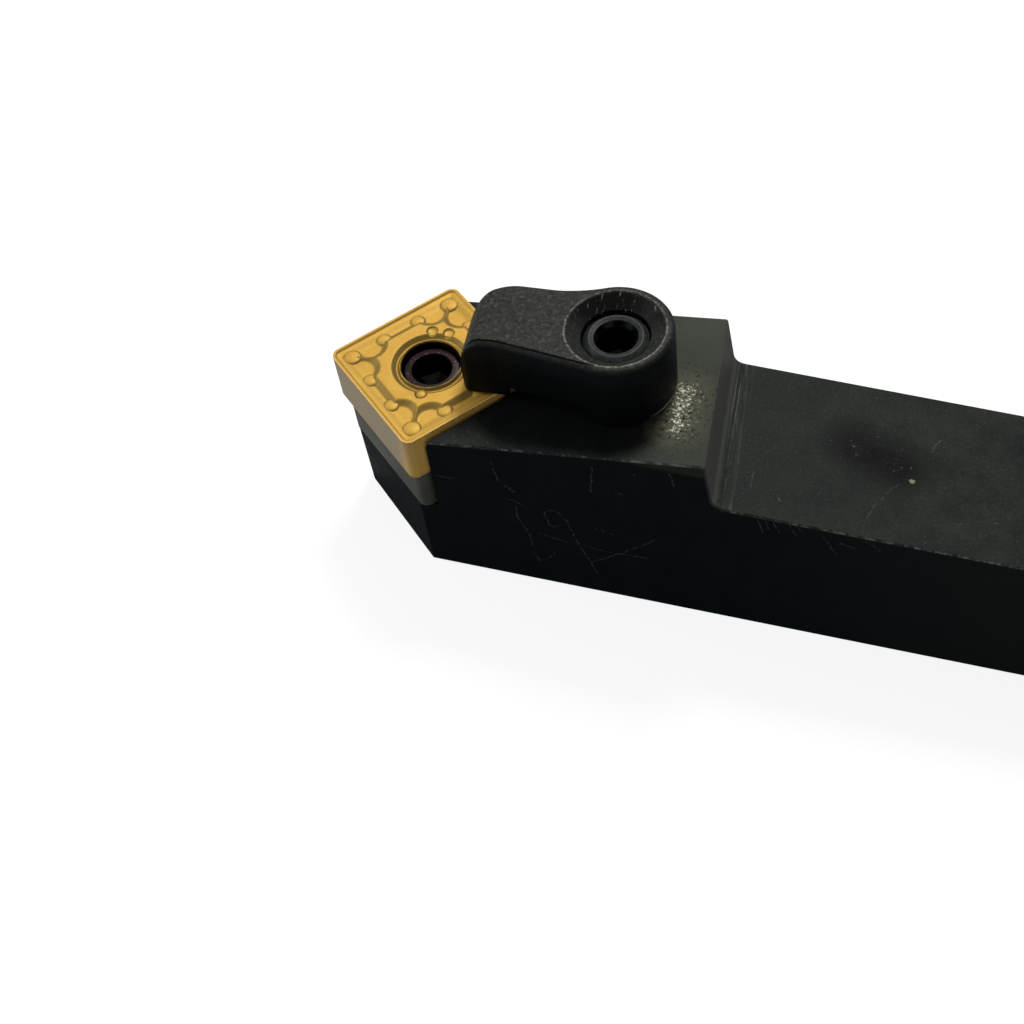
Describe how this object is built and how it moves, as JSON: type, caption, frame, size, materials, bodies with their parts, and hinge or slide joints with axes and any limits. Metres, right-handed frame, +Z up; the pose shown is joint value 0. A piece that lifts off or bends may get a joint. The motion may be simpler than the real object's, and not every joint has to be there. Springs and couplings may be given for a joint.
{
  "type": "turning tool holder",
  "caption": "Square-shank turning tool holder whose raised head carries a square insert set on a corner, held by a pin and a finger clamp.",
  "frame": {"origin": "centre of the bottom face's plane, half way along the tool", "axes": "+X along the shank from the cutting corner to the rear end, +Y across, +Z up"},
  "size_m": [0.1, 0.0172, 0.0271],
  "materials": {
    "black_oxide_steel": "satin",
    "grey_carbide": "satin",
    "bronzed_steel": "satin",
    "gold_coated_carbide": "satin",
    "black_cast_steel": "rough",
    "dark_screw_steel": "satin"
  },
  "bodies": {
    "holder": {"holder_body": "black_oxide_steel", "shim": "grey_carbide", "lock_pin": "bronzed_steel", "insert": "gold_coated_carbide"},
    "clamp": {"clamp": "black_cast_steel"},
    "clamp_screw": {"clamp_screw": "dark_screw_steel"}
  },
  "joints": [
    {"name": "clamp_screw_turn", "type": "hinge", "parent": "holder", "child": "clamp_screw", "pos_m": [-0.02544, 0, 0.01979], "axis": [-0.17, 0, 0.9854], "range_deg": [0, 720]},
    {"name": "clamp_lift", "type": "slide", "parent": "holder", "child": "clamp", "axis": [-0.17, 0, 0.9854], "range_m": [0, 0.004]}
  ],
  "couplings": [
    {"joint": "clamp_screw_turn", "follows": "clamp_lift", "rad_per_m": 3141.6}
  ]
}
